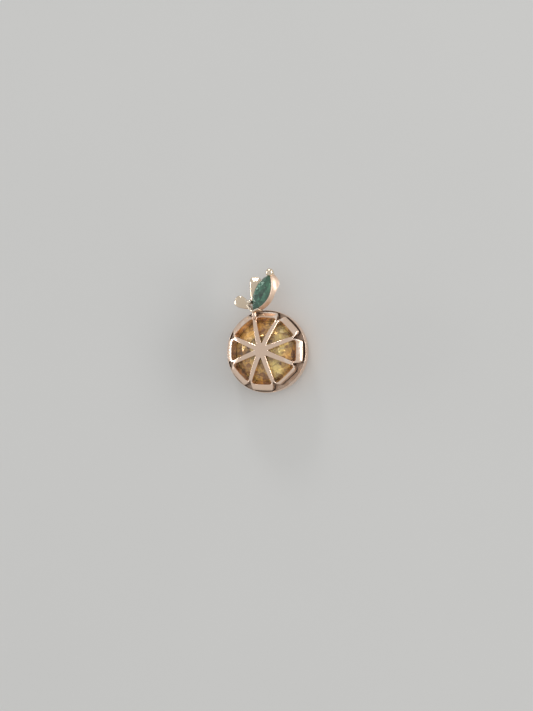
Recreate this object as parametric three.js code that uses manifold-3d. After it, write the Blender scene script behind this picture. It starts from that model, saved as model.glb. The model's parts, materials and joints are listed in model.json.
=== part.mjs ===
// A small gold charm: a domed citrus slice with a yellow stone behind its eight segments,
// and a leaf set with a green marquise stone between two plain gold leaves.
// Millimetres, +Z up. The charm lies on its flat back with its leaves towards +Y.
// The origin is the middle of the flat back.

import * as THREE from "three";
import { ConvexGeometry } from "three/addons/geometries/ConvexGeometry.js";
import { mergeVertices } from "three/addons/utils/BufferGeometryUtils.js";
import Module from "manifold-3d";

// Clearances between pieces that touch
const fitGap = 0.03; // between two pieces of metal, and round each stone

// The cup: a round bowl with a flat back, open towards the face
const girdleRadius = 4.23; // the widest ring of the cup
const girdleHeight = 1.3; // its height over the flat back
const backRadius = 3.4; // the flat back
const floorThickness = 0.4;
const lipWidth = 0.06; // the thin edge round the frame
const lipHeight = 0.2; // how far that edge stands over the frame's ledge
const wallRise = 0.45; // from the girdle up to the frame's ledge
const boreWall = 0.9; // from the girdle in to the bore that holds the yellow stone
const seatWidth = 0.42; // the sloping seat under the yellow stone
const seatDrop = 0.18;

// The frame: a domed wheel of eight segments, each with its own rounded window
const firstSpokeAngle = 20; // degrees from +X
const spokeOffsets = [1.7, 0, -3.4, 1.4, -0.5, 0, -2.3, 1.6]; // degrees off an even spacing, as cast
const faceOffset = new THREE.Vector3(-0.08, 0.02, 0); // how far the face was set off the cup's middle
const faceInset = 0.37; // from the cup's girdle in to the segments' outer edges
const edgeOffsets = [0, 0, 0, 0, 0, 0, -0.22, 0]; // how far each segment's edge lies off that, as cast
const edgeBulge = 0.05; // how far that edge is rounded out
const edgeStraight = 0.95; // half the length of that edge before its corners turn
const notchDepth = 0.5; // from a segment's edge in to the notch at the end of a spoke
const notchTurn = 0.38; // from there out to where the notch's sides turn into the edge
const notchOpening = 0.16; // half the notch's width there
const crestRise = 0.635; // from the frame's ledge to the edge of its face
const hubRise = 1.365; // from there to the top of its hub
const frameThickness = 0.68;
const flankSlope = 0.1; // how fast the outer flank spreads on its way down
const spokeWidth = 0.38; // at its outer end
const windowApex = 0.58; // from the hub's middle out to the windows' inner corners
const windowRim = 0.4; // from a segment's usual edge in to its window
const windowCornerCut = 0.42;
const windowApexCut = 0.12;

// The yellow stone: a faceted dome under the frame, with a shallow back
const crownRings = [
  // share of the stone's radius, facets
  [0.27, 8],
  [0.53, 16],
  [0.79, 16],
];
const girdleFacets = 32;
const stoneGirdle = 0.16; // thickness of its edge
const culetShare = 0.27; // width of the flat at its back, against its own
const culetLift = 0.15; // from the cup's floor to that flat

// The green stone: a marquise, long axis along the leaf
const marquiseLength = 4.0;
const marquiseWidth = 2.0;
const marquiseCrown = 0.32; // from its edge up to its flat top
const marquisePavilion = 0.75; // from its edge down to its keel
const marquiseGirdle = 0.06;
const tableShare = 0.6;
const keelShare = 0.12;

// The leaf setting: a leaf-shaped cup under the green stone
const leafFootX = -1.08; // the green stone's lower tip
const leafFootInset = 0.07; // from the girdle in to that tip, along Y
const leafFootRise = 0.565; // from the edge of the frame's face up to it
const leafLean = 25.2; // degrees that its tip leans towards +X
const leafTurn = 20; // degrees that its face turns towards -X
const settingWall = 0.08; // metal outside the green stone's edge
const settingDepth = 0.78;
const shoulderFlare = 2.9; // how much wider its back is near the tip, on its right side
const shoulderStretch = 0.06; // and how much longer

// The beads and the pointed prong that hold the green stone
const tipBeadRadius = 0.41;
const tipBeadReach = 0.22; // past the tip of the stone
const sideBeadRadius = 0.2;
const sideBeadAlong = 0.31; // share of the half length from the lower tip
const postRadius = 0.15;
const prongWidth = 0.19;
const prongRise = 0.24; // over the stone's edge
const prongDepth = 0.75;
const rightArm = 0.72;
const leftArm = 0.95;
const leftArmSplay = 22; // degrees that the left arm stands off the stone

// The plain gold leaves
const sideLeaf = { length: 1.72, width: 1.22, thickness: 0.62, blunt: 0.72 };
const sideLeafAngle = 154; // degrees from +X
const sideLeafReach = new THREE.Vector3(-2.2, 1.24, -0.5); // from the green stone's lower tip to its own
const upperLeafWidth = 1.16;
const upperLeafThickness = 0.9;
const upperLeafBlunt = 0.86;
const upperLeafAngle = 86;
const upperLeafOut = 0.35; // from the green stone's widest edge out to its tip
const upperLeafBack = 0.835; // from the green stone's tip back to its tip
const upperLeafRise = 0.384;
const upperLeafFoot = 0.095; // from its foot back to the middle of the side bead, along the stone
const upperLeafLap = 0.2; // how far its side reaches over the green stone's edge
const leafBevel = 0.14;

// The stem: a short wire from the frame's rim up to the pointed prong
const stemRadius = 0.24;
const stemSides = 10;
const stemSteps = 8;
const stemStart = 0.44; // from the rim's edge in along the spoke
const stemArch = 0.34;
const stemSpoke = 2; // the spoke it grows from

// Fineness of the round shapes
const turnSteps = 48;
const arcSteps = 6;

const roseGold = { color: 0xdfa890, roughness: 0.16, metalness: 1 };
const yellowStone = { color: 0xe0a83a, roughness: 0.05, metalness: 0 };
const greenStone = { color: 0x1f6b45, roughness: 0.05, metalness: 0 };

// What follows from them
const ledgeHeight = girdleHeight + wallRise;
const segmentReach = girdleRadius - faceInset;
const crestHeight = ledgeHeight + crestRise;
const hubHeight = crestHeight + hubRise;
const domeRadius = (segmentReach ** 2 + hubRise ** 2) / (2 * hubRise); // the sphere that the face lies on
const domeCentre = hubHeight - domeRadius;
const segmentCount = spokeOffsets.length;
const frameBottom = ledgeHeight + fitGap;
const boreRadius = girdleRadius - boreWall;
const stoneRadius = boreRadius - fitGap - faceOffset.length();
const stoneDome = domeRadius - frameThickness - fitGap;
const innerDomeFoot = Math.sqrt((domeRadius - frameThickness) ** 2 - (frameBottom - domeCentre) ** 2);
const stoneEdgeTop = Math.min(domeCentre + Math.sqrt(stoneDome ** 2 - stoneRadius ** 2), ledgeHeight);
const seatHeight = stoneEdgeTop - stoneGirdle - fitGap;
const sideBeadBack = marquiseLength * (1 - sideBeadAlong / 2); // from the stone's tip to the side bead
const upperLeaf = {
  length: sideBeadBack - upperLeafBack - upperLeafFoot,
  width: upperLeafWidth,
  thickness: upperLeafThickness,
  blunt: upperLeafBlunt,
};

const wasm = await Module();
wasm.setup();

// A closed geometry as a solid that can be joined and cut
function solid(geometry) {
  const bare = geometry.clone();
  for (const name of ["normal", "uv"]) bare.deleteAttribute(name);
  const merged = mergeVertices(bare, 1e-4);
  return new wasm.Manifold(
    new wasm.Mesh({
      numProp: 3,
      vertProperties: merged.getAttribute("position").array,
      triVerts: new Uint32Array(merged.index.array),
    }),
  );
}

// The solid back as a geometry
function surface(made) {
  const { vertProperties, triVerts } = made.getMesh();
  const geometry = new THREE.BufferGeometry();
  geometry.setAttribute("position", new THREE.BufferAttribute(new Float32Array(vertProperties), 3));
  geometry.setIndex(new THREE.BufferAttribute(new Uint32Array(triVerts), 1));
  const faceted = geometry.toNonIndexed();
  faceted.computeVertexNormals();
  return faceted;
}

function radians(degrees) {
  return THREE.MathUtils.degToRad(degrees);
}

// A profile of [radius, height] pairs turned round the Z axis
function turned(profile) {
  const points = profile.map(([radius, height]) => new THREE.Vector2(radius, height));
  return new THREE.LatheGeometry(points, turnSteps).rotateX(Math.PI / 2);
}

// Pairs along a quarter of an ellipse, from its low end to its high end
function quarterArc(low, high, startsUpright) {
  const pairs = [];
  for (let step = 0; step <= arcSteps; step += 1) {
    const angle = (step / arcSteps) * (Math.PI / 2);
    const across = startsUpright ? 1 - Math.cos(angle) : Math.sin(angle);
    const up = startsUpright ? Math.sin(angle) : 1 - Math.cos(angle);
    pairs.push([THREE.MathUtils.lerp(low[0], high[0], across), THREE.MathUtils.lerp(low[1], high[1], up)]);
  }
  return pairs;
}

// Pairs along a dome that shares the frame's centre, from one radius to another
function domeArc(dome, fromRadius, toRadius) {
  const pairs = [];
  for (let step = 0; step <= arcSteps; step += 1) {
    const radius = THREE.MathUtils.lerp(fromRadius, toRadius, step / arcSteps);
    pairs.push([radius, domeCentre + Math.sqrt(dome ** 2 - radius ** 2)]);
  }
  return pairs;
}

// A flat outline made thick along Z, from one height to another
function extruded(shape, bottom, top, steps = 1) {
  const settings = { depth: top - bottom, steps, curveSegments: arcSteps, bevelEnabled: false };
  return new THREE.ExtrudeGeometry(shape, settings).translate(0, 0, bottom);
}

// The same geometry with each point moved by a function of its place
function reshaped(geometry, move) {
  const position = geometry.getAttribute("position");
  const point = new THREE.Vector3();
  for (let index = 0; index < position.count; index += 1) {
    move(point.fromBufferAttribute(position, index));
    position.setXYZ(index, point.x, point.y, point.z);
  }
  return geometry;
}

// A closed outline with each corner rounded from its own cut length before it to the same after it
function roundedShape(corners, cuts) {
  const shape = new THREE.Shape();
  corners.forEach((corner, index) => {
    const before = corners[(index + corners.length - 1) % corners.length];
    const after = corners[(index + 1) % corners.length];
    const start = before.clone().sub(corner).setLength(cuts[index]).add(corner);
    const end = after.clone().sub(corner).setLength(cuts[index]).add(corner);
    if (index === 0) shape.moveTo(start.x, start.y);
    else shape.lineTo(start.x, start.y);
    shape.quadraticCurveTo(corner.x, corner.y, end.x, end.y);
  });
  shape.closePath();
  return shape;
}

function spokeAngle(index) {
  return radians(firstSpokeAngle + (360 / segmentCount) * index + spokeOffsets[index % segmentCount]);
}

// Half the angle between a segment's two spokes
function halfAngle(index) {
  return (spokeAngle(index + 1) - spokeAngle(index)) / 2;
}

// A point given by how far it is out along a segment's middle line, and across that line
function segmentPoint(index, out, across) {
  const middle = (spokeAngle(index) + spokeAngle(index + 1)) / 2;
  return new THREE.Vector2(out, across).rotateAround(new THREE.Vector2(), middle);
}

function spokePoint(index, radius) {
  return new THREE.Vector2(radius, 0).rotateAround(new THREE.Vector2(), spokeAngle(index));
}

// Where a notch's side turns into the segment's edge, on the side of the spoke that across points to
function notchSide(index, across) {
  const out = segmentReach - notchDepth + notchTurn;
  return new THREE.Vector2(out, across).rotateAround(new THREE.Vector2(), spokeAngle(index));
}

// The outline of all eight segments together, with a notch at the end of each spoke
function frameOutline() {
  const shape = new THREE.Shape();
  const notchRadius = segmentReach - notchDepth;
  const first = spokePoint(0, notchRadius);
  shape.moveTo(first.x, first.y);
  for (let index = 0; index < segmentCount; index += 1) {
    const reach = segmentReach + edgeOffsets[index];
    const turns = [
      [notchSide(index, notchOpening), segmentPoint(index, reach, -edgeStraight)],
      [segmentPoint(index, reach + 2 * edgeBulge, 0), segmentPoint(index, reach, edgeStraight)],
      [notchSide(index + 1, -notchOpening), spokePoint(index + 1, notchRadius)],
    ];
    for (const [control, end] of turns) shape.quadraticCurveTo(control.x, control.y, end.x, end.y);
  }
  return new THREE.Shape(shape.getPoints(arcSteps).slice(0, -1));
}

// How much the frame's outline has spread at a height, because its flank slopes
function flankSpread(height) {
  return 1 + (flankSlope * (crestHeight - height)) / segmentReach;
}

function makeCup() {
  const widest = Math.max(...frameOutline().getPoints().map((point) => point.length()));
  const lipInner = widest * flankSpread(ledgeHeight) + fitGap + faceOffset.length();
  const girdle = [girdleRadius, girdleHeight];
  const lip = [lipInner + lipWidth, ledgeHeight + lipHeight];
  const profile = [
    [0, 0],
    ...quarterArc([backRadius, 0], girdle, false),
    ...quarterArc(girdle, lip, true).slice(1),
    [lipInner, ledgeHeight + lipHeight],
    [lipInner, ledgeHeight],
    [boreRadius, ledgeHeight],
    [boreRadius, seatHeight],
    [boreRadius - seatWidth, seatHeight - seatDrop],
    [boreRadius - seatWidth, floorThickness],
    [0, floorThickness],
  ];
  return turned(profile);
}

function windowOutline(index) {
  const reach = segmentReach - windowRim;
  const half = halfAngle(index);
  const across = reach * Math.tan(half) - spokeWidth / 2 / Math.cos(half);
  const places = [[windowApex, 0], [reach, -across], [reach, across]];
  const corners = places.map(([out, side]) => segmentPoint(index, out, side));
  return roundedShape(corners, [windowApexCut, windowCornerCut, windowCornerCut]);
}

function makeFrame() {
  const outerFoot = girdleRadius + fitGap;
  const innerDome = domeRadius - frameThickness;
  const shell = turned([
    ...domeArc(innerDome, 0, innerDomeFoot),
    [outerFoot, frameBottom],
    ...domeArc(domeRadius, outerFoot, 0),
  ]);
  const top = hubHeight + fitGap;
  const block = reshaped(extruded(frameOutline(), frameBottom - fitGap, top), (point) => {
    point.x *= flankSpread(point.z);
    point.y *= flankSpread(point.z);
  });
  let frame = solid(shell).intersect(solid(block));
  const windowTop = domeCentre + Math.sqrt(domeRadius ** 2 - (segmentReach - windowRim) ** 2);
  for (let index = 0; index < segmentCount; index += 1) {
    const cutter = reshaped(extruded(windowOutline(index), frameBottom - fitGap, top), (point) => {
      const spread = (point.z - domeCentre) / (windowTop - domeCentre);
      point.x *= spread;
      point.y *= spread;
    });
    frame = frame.subtract(solid(cutter));
  }
  return surface(frame);
}

// Points of a level ring, for the corners of a cut stone
function ringPoints(radius, height, count, offset = 0) {
  return Array.from({ length: count }, (_, index) => {
    const angle = ((index + offset) / count) * 2 * Math.PI;
    return new THREE.Vector3(radius * Math.cos(angle), radius * Math.sin(angle), height);
  });
}

function makeYellowStone() {
  const points = [];
  for (const [share, count] of crownRings) {
    const radius = share * stoneRadius;
    const height = domeCentre + Math.sqrt(stoneDome ** 2 - radius ** 2);
    points.push(...ringPoints(radius, height, count, 0.5));
  }
  points.push(...ringPoints(stoneRadius, stoneEdgeTop - fitGap, girdleFacets));
  points.push(...ringPoints(stoneRadius, stoneEdgeTop - stoneGirdle, girdleFacets));
  points.push(...ringPoints(stoneRadius * culetShare, floorThickness + culetLift, 8, 0.5));
  return new ConvexGeometry(points);
}

// Half the width of a marquise, at a share of its half length from the middle
function marquiseHalf(share, width) {
  return (width / 2) * (1 - share ** 2);
}

// Points round a marquise, from tip to tip and back
function marquisePoints(length, width, steps) {
  return Array.from({ length: 2 * steps }, (_, index) => {
    const share = Math.cos((index / steps) * Math.PI);
    const side = index < steps ? 1 : -1;
    return new THREE.Vector2(side * marquiseHalf(share, width), (share * length) / 2);
  });
}

// The green stone, or with a gap the room that it takes
function marquiseStone(gap) {
  const rings = [
    [tableShare, marquiseCrown + gap],
    [1, marquiseGirdle / 2],
    [1, -marquiseGirdle / 2],
    [keelShare, -marquisePavilion - gap],
  ];
  const points = rings.flatMap(([share, height]) =>
    marquisePoints(marquiseLength + 2 * gap, marquiseWidth + 2 * gap, 8).map(
      (point) => new THREE.Vector3(point.x * share, point.y * share, height),
    ),
  );
  return new ConvexGeometry(points);
}

// The setting's outer body, or with a gap the room that it takes
function settingBody(gap) {
  const length = marquiseLength + 2 * (settingWall + gap);
  const width = marquiseWidth + 2 * (settingWall + gap);
  const front = -marquiseGirdle / 2 - fitGap;
  const shape = new THREE.Shape(marquisePoints(length, width, 2 * arcSteps).reverse());
  return reshaped(extruded(shape, front - settingDepth - gap, front + gap, 2), (point) => {
    const depth = THREE.MathUtils.clamp((front - point.z) / settingDepth, 0, 1);
    const towardsTip = THREE.MathUtils.clamp((2 * point.y) / length, 0, 1) ** 3;
    if (point.x > 0) point.x *= 1 + depth * shoulderFlare * towardsTip;
    point.y *= 1 + depth * shoulderStretch * towardsTip;
  });
}

function makeSetting() {
  return surface(solid(settingBody(0)).subtract(solid(marquiseStone(fitGap))));
}

// The room that a prong keeps clear of
function stoneAndSetting() {
  return solid(marquiseStone(fitGap)).add(solid(settingBody(fitGap)));
}

// A bead on a post that runs down the side of the setting, or with a gap the room that it takes
function beadProng(x, y, radius, gap) {
  const height = prongRise / 2;
  const bead = new THREE.SphereGeometry(radius + gap, 20, 12).translate(x, y, height);
  const length = height + settingDepth;
  const post = new THREE.CylinderGeometry(postRadius + gap, postRadius + gap, length, 12);
  post.rotateX(Math.PI / 2).translate(x, y, height - length / 2);
  return solid(bead).add(solid(post));
}

function tipProng(gap) {
  return beadProng(0, marquiseLength / 2 + tipBeadReach, tipBeadRadius, gap);
}

function sideProng(gap) {
  const share = sideBeadAlong - 1;
  const edge = marquiseHalf(share, marquiseWidth) + settingWall + fitGap + postRadius;
  return beadProng(-edge, (share * marquiseLength) / 2, sideBeadRadius, gap);
}

// A bar along one arm of the pointed prong, from the lower tip
function prongArm(angle, length, gap) {
  const half = prongWidth / 2 + gap;
  const corners = [
    new THREE.Vector2(-half, -half),
    new THREE.Vector2(half, -half),
    new THREE.Vector2(half, length + gap),
    new THREE.Vector2(-half, length + gap),
  ];
  const rounding = [half / 2, half / 2, half * 0.95, half * 0.95];
  const bar = extruded(roundedShape(corners, rounding), -prongDepth - gap, prongRise + gap);
  const tip = -marquiseLength / 2 - settingWall - prongWidth / 2;
  return bar.rotateZ(-angle).translate(0, tip, 0);
}

function pointedProng(gap) {
  const edgeAngle = Math.atan2(2 * marquiseWidth, marquiseLength);
  const right = solid(prongArm(edgeAngle, rightArm, gap));
  return right.add(solid(prongArm(-edgeAngle - radians(leftArmSplay), leftArm, gap)));
}

// A plain leaf with its tip at the origin, pointing along +Y, rounded at its edges
function plainLeaf({ length, width, thickness, blunt }) {
  const half = width / 2 - leafBevel;
  const tip = -leafBevel;
  const shape = new THREE.Shape();
  shape.moveTo(0, tip);
  shape.bezierCurveTo(-half * blunt, tip, -half, tip - half * (1 - blunt), -half, tip - half);
  shape.quadraticCurveTo(-half, -length * 0.75, -half * 0.45, leafBevel - length);
  shape.lineTo(half * 0.45, leafBevel - length);
  shape.quadraticCurveTo(half, -length * 0.75, half, tip - half);
  shape.bezierCurveTo(half, tip - half * (1 - blunt), half * blunt, tip, 0, tip);
  const outline = new THREE.Shape(shape.getPoints(arcSteps).slice(0, -1).reverse());
  const settings = {
    depth: thickness - 2 * leafBevel,
    bevelThickness: leafBevel,
    bevelSize: leafBevel,
    bevelSegments: 2,
  };
  return new THREE.ExtrudeGeometry(outline, settings).translate(0, 0, leafBevel - thickness);
}

function leafPlace(angle, tip) {
  const turn = new THREE.Quaternion().setFromAxisAngle(new THREE.Vector3(0, 0, 1), radians(angle - 90));
  return new THREE.Matrix4().compose(tip, turn, new THREE.Vector3(1, 1, 1));
}

const leafFoot = new THREE.Vector3(leafFootX, girdleRadius - leafFootInset, crestHeight + leafFootRise);
const leafFrame = new THREE.Group();
leafFrame.rotation.set(0, radians(-leafTurn), radians(-leafLean), "ZYX");
leafFrame.position.set(0, marquiseLength / 2, 0).applyEuler(leafFrame.rotation).add(leafFoot);
leafFrame.updateMatrix();

// The room that the set leaf takes, in the charm's own frame
function setLeafRoom() {
  const pieces = [stoneAndSetting(), tipProng(fitGap), sideProng(fitGap), pointedProng(fitGap)];
  const room = pieces.reduce((joined, next) => joined.add(next));
  return solid(surface(room).applyMatrix4(leafFrame.matrix));
}

// The room over the green stone that a plain leaf may only reach into by its lap
function openFace() {
  const inset = 2 * upperLeafLap;
  const points = marquisePoints(marquiseLength - inset, marquiseWidth - inset, 2 * arcSteps);
  return extruded(new THREE.Shape(points.reverse()), -settingDepth, 2 * marquiseCrown);
}

// A plain leaf cut to fit beside the set leaf, without the scraps on the far side
function makePlainLeaf(size, angle, tip) {
  const face = openFace().applyMatrix4(leafFrame.matrix);
  const leaf = solid(plainLeaf(size).applyMatrix4(leafPlace(angle, tip)));
  const bodies = leaf.subtract(setLeafRoom()).subtract(solid(face)).decompose();
  return bodies.reduce((largest, next) => (next.volume() > largest.volume() ? next : largest));
}

// The ball that the frame's face lies on, with its clearance
function domeRoom() {
  const dome = new THREE.SphereGeometry(domeRadius + fitGap, 2 * turnSteps, turnSteps);
  return dome.translate(faceOffset.x, faceOffset.y, domeCentre);
}

function makePointedProng() {
  const dome = domeRoom().applyMatrix4(leafFrame.matrix.clone().invert());
  return pointedProng(0).subtract(stoneAndSetting()).subtract(solid(dome));
}

function makeStem() {
  const foot = spokePoint(stemSpoke, segmentReach - stemStart);
  const start = new THREE.Vector3(foot.x, foot.y, crestHeight).add(faceOffset);
  const tipOut = marquiseLength / 2 + settingWall + prongWidth;
  const end = new THREE.Vector3(0, -tipOut, -prongDepth / 3).applyMatrix4(leafFrame.matrix);
  const middle = start.clone().lerp(end, 0.5);
  middle.z += stemArch;
  const path = new THREE.QuadraticBezierCurve3(start, middle, end);
  const section = new THREE.Shape(
    ringPoints(stemRadius, 0, stemSides).map((point) => new THREE.Vector2(point.x, point.y)),
  );
  const wire = new THREE.ExtrudeGeometry(section, { steps: stemSteps, extrudePath: path });
  return solid(wire).subtract(solid(domeRoom())).subtract(setLeafRoom());
}

function piece(name, geometry, look) {
  const mesh = new THREE.Mesh(geometry, new THREE.MeshStandardMaterial(look));
  mesh.name = name;
  return mesh;
}

const face = new THREE.Group();
face.position.copy(faceOffset);
face.add(
  piece("slice_frame", makeFrame(), roseGold),
  piece("yellow_stone", makeYellowStone(), yellowStone),
);

leafFrame.add(
  piece("leaf_setting", makeSetting(), roseGold),
  piece("green_stone", marquiseStone(0), greenStone),
  piece("tip_prong", surface(tipProng(0).subtract(stoneAndSetting())), roseGold),
  piece("side_prong", surface(sideProng(0).subtract(stoneAndSetting())), roseGold),
  piece("pointed_prong", surface(makePointedProng()), roseGold),
);

const sideLeafTip = leafFoot.clone().add(sideLeafReach);
const upperLeafTip = new THREE.Vector3(
  -marquiseWidth / 2 - upperLeafOut,
  marquiseLength / 2 - upperLeafBack,
  upperLeafRise,
).applyMatrix4(leafFrame.matrix);

const charm = new THREE.Group();
charm.name = "citrus_slice_charm";
charm.add(
  piece("cup", makeCup(), roseGold),
  face,
  piece("stem", surface(makeStem()), roseGold),
  leafFrame,
  piece("side_leaf", surface(makePlainLeaf(sideLeaf, sideLeafAngle, sideLeafTip)), roseGold),
  piece("upper_leaf", surface(makePlainLeaf(upperLeaf, upperLeafAngle, upperLeafTip)), roseGold),
);

export default charm;
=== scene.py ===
# A small gold charm: a domed citrus slice over a yellow stone, and a green stone set as its leaf.
# Shapes are worked out in millimetres and made in metres.
# +Z is up out of the face, +Y is towards the leaves.

import json
import math

import bmesh
import bpy
from mathutils import Matrix, Vector
from mathutils.geometry import delaunay_2d_cdt

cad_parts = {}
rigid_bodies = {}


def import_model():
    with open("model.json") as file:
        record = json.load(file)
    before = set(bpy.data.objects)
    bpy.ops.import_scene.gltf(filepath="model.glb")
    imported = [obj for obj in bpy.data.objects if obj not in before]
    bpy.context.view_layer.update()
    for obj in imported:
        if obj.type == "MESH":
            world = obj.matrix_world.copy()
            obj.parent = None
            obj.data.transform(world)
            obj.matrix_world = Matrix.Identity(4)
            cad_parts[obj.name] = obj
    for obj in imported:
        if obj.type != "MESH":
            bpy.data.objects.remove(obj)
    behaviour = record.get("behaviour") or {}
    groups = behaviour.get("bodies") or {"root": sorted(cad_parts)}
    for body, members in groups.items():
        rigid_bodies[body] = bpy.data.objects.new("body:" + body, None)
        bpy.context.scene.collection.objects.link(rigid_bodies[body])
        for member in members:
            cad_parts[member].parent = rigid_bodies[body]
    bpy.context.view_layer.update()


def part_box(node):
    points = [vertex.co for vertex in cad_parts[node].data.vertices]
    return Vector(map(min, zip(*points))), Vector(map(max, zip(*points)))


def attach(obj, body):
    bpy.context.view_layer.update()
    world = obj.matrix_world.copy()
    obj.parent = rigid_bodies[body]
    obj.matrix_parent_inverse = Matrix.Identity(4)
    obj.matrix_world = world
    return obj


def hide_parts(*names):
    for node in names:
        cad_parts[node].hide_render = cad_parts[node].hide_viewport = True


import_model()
mm = 0.001


def boxInMm(node):
    low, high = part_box(node)
    return low / mm, high / mm


# Node trees

class Value:
    # a socket that takes part in plain arithmetic
    def __init__(self, book, socket):
        self.book = book
        self.socket = socket

    def maths(self, operation, first, second=0.0, clamp=False):
        settings = {"operation": operation, "use_clamp": clamp}
        return self.book.add("ShaderNodeMath", settings, {0: first, 1: second})

    def __add__(self, other):
        return self.maths("ADD", self, other)

    def __radd__(self, other):
        return self.maths("ADD", other, self)

    def __sub__(self, other):
        return self.maths("SUBTRACT", self, other)

    def __rsub__(self, other):
        return self.maths("SUBTRACT", other, self)

    def __mul__(self, other):
        return self.maths("MULTIPLY", self, other)

    def __rmul__(self, other):
        return self.maths("MULTIPLY", other, self)

    def __truediv__(self, other):
        return self.maths("DIVIDE", self, other)

    def __rtruediv__(self, other):
        return self.maths("DIVIDE", other, self)

    def __pow__(self, other):
        return self.maths("POWER", self, other)

    def __mod__(self, other):
        return self.maths("MODULO", self, other)

    def clamped(self):
        return self.maths("ADD", self, 0.0, clamp=True)


class NodeBook:
    # adds nodes to one tree; settings go on first, then values or links
    def __init__(self, tree):
        self.tree = tree

    def add(self, kind, settings=None, values=None, output=0):
        node = self.tree.nodes.new(kind)
        for name, setting in (settings or {}).items():
            if name == "stops":
                self.setStops(node.color_ramp, setting)
            else:
                setattr(node, name, setting)
        for name, value in (values or {}).items():
            self.feed(self.socketOf(node.inputs, name), value)
        return Value(self, self.socketOf(node.outputs, output))

    def socketOf(self, sockets, name):
        if isinstance(name, int):
            return sockets[name]
        return next((s for s in sockets if s.identifier == name), None) or sockets[name]

    def feed(self, socket, value):
        for item in value if isinstance(value, list) else [value]:
            if isinstance(item, Value):
                self.tree.links.new(item.socket, socket)
            else:
                socket.default_value = item

    def setStops(self, ramp, stops):
        while len(ramp.elements) < len(stops):
            ramp.elements.new(1.0)
        for element, (place, colour) in zip(ramp.elements, stops):
            element.position = place
            element.color = (*colour, 1.0)


class ShapeTree(NodeBook):
    # a Geometry Nodes tree with named inputs; it ends in Realize Instances and Set Material
    def __init__(self, name, inputs):
        super().__init__(bpy.data.node_groups.new(name, "GeometryNodeTree"))
        self.ids = {}
        sockets = {"Shape": "NodeSocketGeometry", **inputs, "Finish": "NodeSocketMaterial"}
        for label, kind in sockets.items():
            made = self.tree.interface.new_socket(label, in_out="INPUT", socket_type=kind)
            self.ids[label] = made.identifier
        self.tree.interface.new_socket("Shape", in_out="OUTPUT", socket_type="NodeSocketGeometry")
        self.group = self.tree.nodes.new("NodeGroupInput")

    def given(self, label):
        return Value(self, self.group.outputs[label])

    def end(self, shape):
        real = self.add("GeometryNodeRealizeInstances", {}, {"Geometry": shape})
        values = {"Geometry": real, "Material": self.given("Finish")}
        done = self.add("GeometryNodeSetMaterial", {}, values)
        out = self.tree.nodes.new("NodeGroupOutput")
        self.tree.links.new(done.socket, out.inputs[0])


def mmMesh(name, points, faces=(), edges=()):
    mesh = bpy.data.meshes.new(name)
    mesh.from_pydata([Vector(p) * mm for p in points], list(edges), list(faces))
    return mesh


def newObject(name, mesh):
    obj = bpy.data.objects.new(name, mesh)
    bpy.context.scene.collection.objects.link(obj)
    return obj


def plainCopy(obj):
    # the object as its modifiers leave it, as a mesh with no modifiers
    graph = bpy.context.evaluated_depsgraph_get()
    graph.update()
    mesh = bpy.data.meshes.new_from_object(obj.evaluated_get(graph))
    obj.modifiers.clear()
    obj.data = mesh
    return obj


def madeBy(tree, name, startMesh, values):
    obj = newObject(name, startMesh)
    modifier = obj.modifiers.new("shape", "NODES")
    modifier.node_group = tree.tree
    for label, value in values.items():
        modifier[tree.ids[label]] = value
    return plainCopy(obj)


def cleaned(obj, sharpAngle, even=True):
    # doubles merged, faces outwards, edges sharper than an angle kept crisp
    mesh = obj.data
    work = bmesh.new()
    work.from_mesh(mesh)
    bmesh.ops.remove_doubles(work, verts=work.verts, dist=0.0004 * mm)
    bmesh.ops.recalc_face_normals(work, faces=work.faces)
    work.to_mesh(mesh)
    work.free()
    mesh.shade_smooth()
    mesh.set_sharp_from_angle(angle=math.radians(sharpAngle))
    if even:
        weighted = obj.modifiers.new("evenShading", "WEIGHTED_NORMAL")
        weighted.keep_sharp = True
        weighted.weight = 80
        plainCopy(obj)
    return obj


def finished(obj, slotName, *nodes):
    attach(obj, "root")
    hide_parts(*nodes)
    return obj


def addPlain(name, mesh, finish, sharpAngle, slotName, node):
    obj = newObject(name, mesh)
    obj.data.materials.append(finish)
    finished(cleaned(obj, sharpAngle), slotName, node)


def moved(points, place):
    return [place @ Vector(p) for p in points]


def stacked(rings, closeStart=True, closeEnd=True):
    # faces that join rings of equal length, with a fan over each open end
    points = [p for ring in rings for p in ring]
    count = len(rings[0])
    faces = []
    for level in range(len(rings) - 1):
        for i in range(count):
            a, b = level * count + i, level * count + (i + 1) % count
            faces.append((a, b, b + count, a + count))
    lastBase = (len(rings) - 1) * count
    for ring, base, wanted in ((rings[0], 0, closeStart), (rings[-1], lastBase, closeEnd)):
        if wanted:
            middle = sum((Vector(p) for p in ring), Vector()) / count
            points.append(middle)
            faces += [(base + i, base + (i + 1) % count, len(points) - 1) for i in range(count)]
    return points, faces


def roundedEdge(radius, share):
    # inset and drop of a point on a rounded edge; a share of 0 is its side and 1 its top
    angle = share * math.pi / 2
    return radius * (1 - math.cos(angle)), radius * (1 - math.sin(angle))


def quadratic(start, control, end, steps):
    # points of a quadratic curve, without its last point
    found = []
    for i in range(steps):
        t = i / steps
        found.append(start * (1 - t) ** 2 + control * 2 * t * (1 - t) + end * t ** 2)
    return found


def straight(start, end, spacing):
    steps = max(1, round((end - start).length / spacing))
    return [start.lerp(end, i / steps) for i in range(steps)]


# Finishes

def newFinish(name):
    material = bpy.data.materials.new(name)
    material.use_nodes = True
    book = NodeBook(material.node_tree)
    shader = material.node_tree.nodes["Principled BSDF"]
    return material, book, shader


def placeInMm(book):
    place = book.add("ShaderNodeTexCoord", {}, {}, "Object")
    return book.add("ShaderNodeVectorMath", {"operation": "SCALE"}, {0: place, "Scale": 1 / mm})


def stretched(book, place, size, turn=(0.0, 0.0, 0.0)):
    return book.add("ShaderNodeMapping", {}, {"Vector": place, "Scale": size, "Rotation": turn})


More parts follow.
